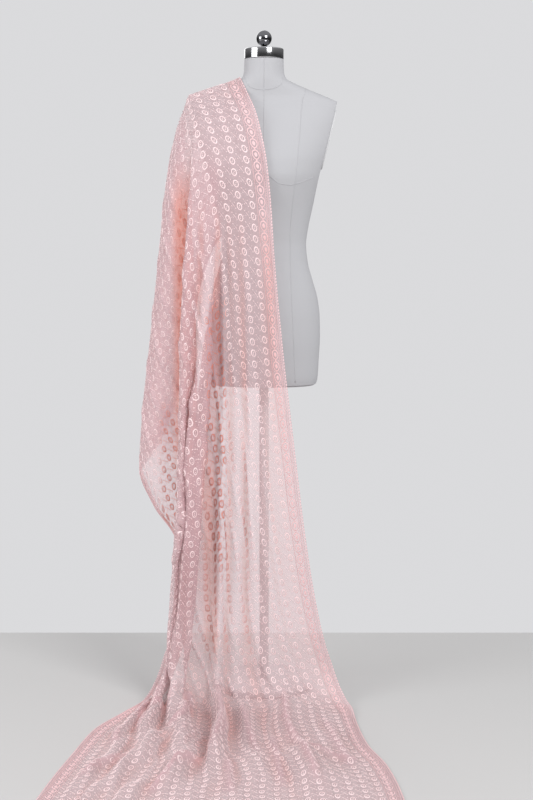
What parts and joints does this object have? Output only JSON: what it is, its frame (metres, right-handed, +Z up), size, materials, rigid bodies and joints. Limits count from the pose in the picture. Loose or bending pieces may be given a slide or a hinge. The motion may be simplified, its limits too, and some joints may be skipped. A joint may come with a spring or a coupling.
{
  "type": "dupatta stole on dress form",
  "caption": "Sheer embroidered dupatta stole draped over one shoulder of a limbless dress form on a round-based stand, with a folded fall, a side wing and a train on the floor.",
  "frame": {"origin": "centre of the underside of the stand's round base, on the floor under the form's neck", "axes": "+Z up; the form faces -Y, and the train runs out that way; the stole lies over the shoulder at -X"},
  "size_m": [0.831, 1.136, 1.7596],
  "materials": {
    "field_cloth": "sheer net with matt thread embroidery",
    "edging_cloth": "close embroidered band on sheer net",
    "form_canvas": "smooth matt canvas with sewn seams",
    "form_plate": "matt plate at the arm",
    "bright_metal": "polished",
    "dark_metal": "dark polished",
    "stand_paint": "pale satin paint"
  },
  "bodies": {
    "root": {"form_body": "form_canvas", "arm_plate_left": "form_plate", "arm_plate_right": "form_plate", "neck_cap": "bright_metal", "ball_finial": "dark_metal", "stand_pole": "stand_paint", "stand_base": "stand_paint", "neck_border_back": "edging_cloth", "neck_border_fall": "edging_cloth", "neck_border_train": "edging_cloth", "outer_border_back": "edging_cloth", "outer_border_fall": "edging_cloth", "outer_border_train": "edging_cloth", "front_fall": "field_cloth", "side_wing": "field_cloth", "back_swag": "field_cloth", "floor_train": "field_cloth"}
  },
  "joints": []
}
